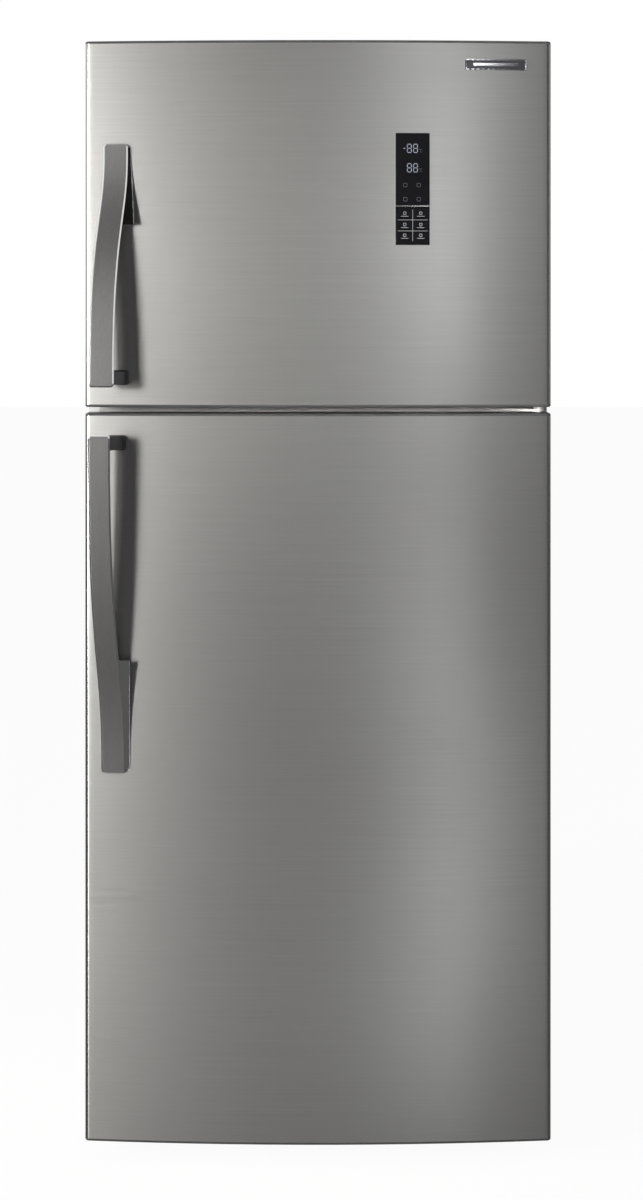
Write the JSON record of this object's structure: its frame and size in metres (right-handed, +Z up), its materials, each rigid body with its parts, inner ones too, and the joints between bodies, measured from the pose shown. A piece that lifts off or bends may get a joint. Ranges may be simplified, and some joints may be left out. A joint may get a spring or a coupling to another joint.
{
  "type": "top freezer refrigerator",
  "caption": "Tall refrigerator with a small freezer door above a larger fridge door, bowed brushed steel fronts, curved bar handles and a touch display.",
  "frame": {"origin": "on the floor, under the middle of the bounding box", "axes": "+Z up, the doors face -Y, +X towards the hinge side"},
  "size_m": [0.7, 0.73, 1.686],
  "materials": {
    "painted_sheet": "satin grey enamel",
    "door_steel": "fine horizontal brush",
    "galvanised_steel": "zinc plated",
    "insulation_foam": "rigid foam",
    "white_liner": "vacuum formed",
    "dark_plastic": "fine grain",
    "grey_plastic": "fine grain",
    "black_steel": "black enamel",
    "black_rubber": "matte",
    "hinge_steel": "zinc plated",
    "coil_aluminium": "bare",
    "clear_plastic": "clear moulded",
    "shelf_glass": "toughened, clear",
    "lamp_cover": "opal",
    "seal_vinyl": "soft vinyl",
    "handle_chrome": "polished",
    "handle_satin": "satin",
    "display_glass": "black gloss",
    "badge_plate": "satin edge",
    "white_wire": "coated wire",
    "grille_white": "moulded"
  },
  "bodies": {
    "cabinet": {"side_panel_left": "painted_sheet", "side_panel_right": "painted_sheet", "top_panel": "painted_sheet", "back_panel": "galvanised_steel", "cabinet_insulation": "insulation_foam", "freezer_liner": "white_liner", "fridge_liner": "white_liner", "mullion_rail": "painted_sheet", "base_frame": "galvanised_steel", "compressor": "black_steel", "compressor_mounts": "black_rubber", "drain_pan": "dark_plastic", "compressor_cover": "galvanised_steel", "cord_gland": "dark_plastic", "toe_grille": "dark_plastic", "top_hinge": "hinge_steel", "top_hinge_cover": "grey_plastic", "middle_hinge": "hinge_steel", "bottom_hinge": "hinge_steel", "cabinet_screws": "hinge_steel", "roller_axles": "galvanised_steel", "evaporator": "coil_aluminium", "evaporator_cover": "grille_white", "fan_motor": "dark_plastic", "air_duct": "grille_white", "freezer_shelf": "white_wire", "shelf_glass": "shelf_glass", "shelf_trims": "grille_white", "crisper_cover": "shelf_glass", "interior_lamps": "lamp_cover"},
    "fan_wheel": {"evaporator_fan": "dark_plastic"},
    "left_foot": {"foot_left": "dark_plastic"},
    "right_foot": {"foot_right": "dark_plastic"},
    "left_roller": {"roller_left": "dark_plastic"},
    "right_roller": {"roller_right": "dark_plastic"},
    "ice_drawer": {"ice_box": "clear_plastic"},
    "vegetable_drawer": {"crisper_drawer": "clear_plastic"},
    "upper_drawer": {"chiller_drawer": "clear_plastic"},
    "freezer_door": {"freezer_door_skin": "door_steel", "freezer_door_caps": "dark_plastic", "freezer_door_foam": "insulation_foam", "freezer_door_liner": "white_liner", "freezer_door_gasket": "seal_vinyl", "freezer_handle_body": "handle_chrome", "freezer_handle_face": "handle_satin", "freezer_door_bins": "clear_plastic", "display_panel": "display_glass", "badge": "badge_plate"},
    "fridge_door": {"fridge_door_skin": "door_steel", "fridge_door_caps": "dark_plastic", "fridge_door_foam": "insulation_foam", "fridge_door_liner": "white_liner", "fridge_door_gasket": "seal_vinyl", "fridge_handle_body": "handle_chrome", "fridge_handle_face": "handle_satin", "fridge_door_bins": "clear_plastic"}
  },
  "joints": [
    {"name": "freezer_door_swing", "type": "hinge", "parent": "cabinet", "child": "freezer_door", "pos_m": [0.335, -0.282, 1.15], "axis": [0, 0, 1], "range_deg": [0, 120]},
    {"name": "fridge_door_swing", "type": "hinge", "parent": "cabinet", "child": "fridge_door", "pos_m": [0.335, -0.282, 0.05], "axis": [0, 0, 1], "range_deg": [0, 120]},
    {"name": "ice_drawer_slide", "type": "slide", "parent": "cabinet", "child": "ice_drawer", "axis": [0, -1, 0], "range_m": [0, 0.16]},
    {"name": "vegetable_drawer_slide", "type": "slide", "parent": "cabinet", "child": "vegetable_drawer", "axis": [0, -1, 0], "range_m": [0, 0.18]},
    {"name": "upper_drawer_slide", "type": "slide", "parent": "cabinet", "child": "upper_drawer", "axis": [0, -1, 0], "range_m": [0, 0.16]},
    {"name": "evaporator_fan_spin", "type": "hinge", "parent": "cabinet", "child": "fan_wheel", "pos_m": [0, 0.236, 1.505], "axis": [0, 1, 0], "continuous": true},
    {"name": "left_foot_screw", "type": "slide", "parent": "cabinet", "child": "left_foot", "axis": [0, 0, -1], "range_m": [0, 0.012]},
    {"name": "right_foot_screw", "type": "slide", "parent": "cabinet", "child": "right_foot", "axis": [0, 0, -1], "range_m": [0, 0.012]},
    {"name": "left_roller_spin", "type": "hinge", "parent": "cabinet", "child": "left_roller", "pos_m": [-0.3, 0.325, 0.015], "axis": [1, 0, 0], "continuous": true},
    {"name": "right_roller_spin", "type": "hinge", "parent": "cabinet", "child": "right_roller", "pos_m": [0.3, 0.325, 0.015], "axis": [1, 0, 0], "continuous": true}
  ],
  "couplings": [
    {"joint": "ice_drawer_slide", "follows": "freezer_door_swing", "m_per_rad": 0.0762},
    {"joint": "vegetable_drawer_slide", "follows": "fridge_door_swing", "m_per_rad": 0.0858},
    {"joint": "upper_drawer_slide", "follows": "fridge_door_swing", "m_per_rad": 0.0762}
  ]
}
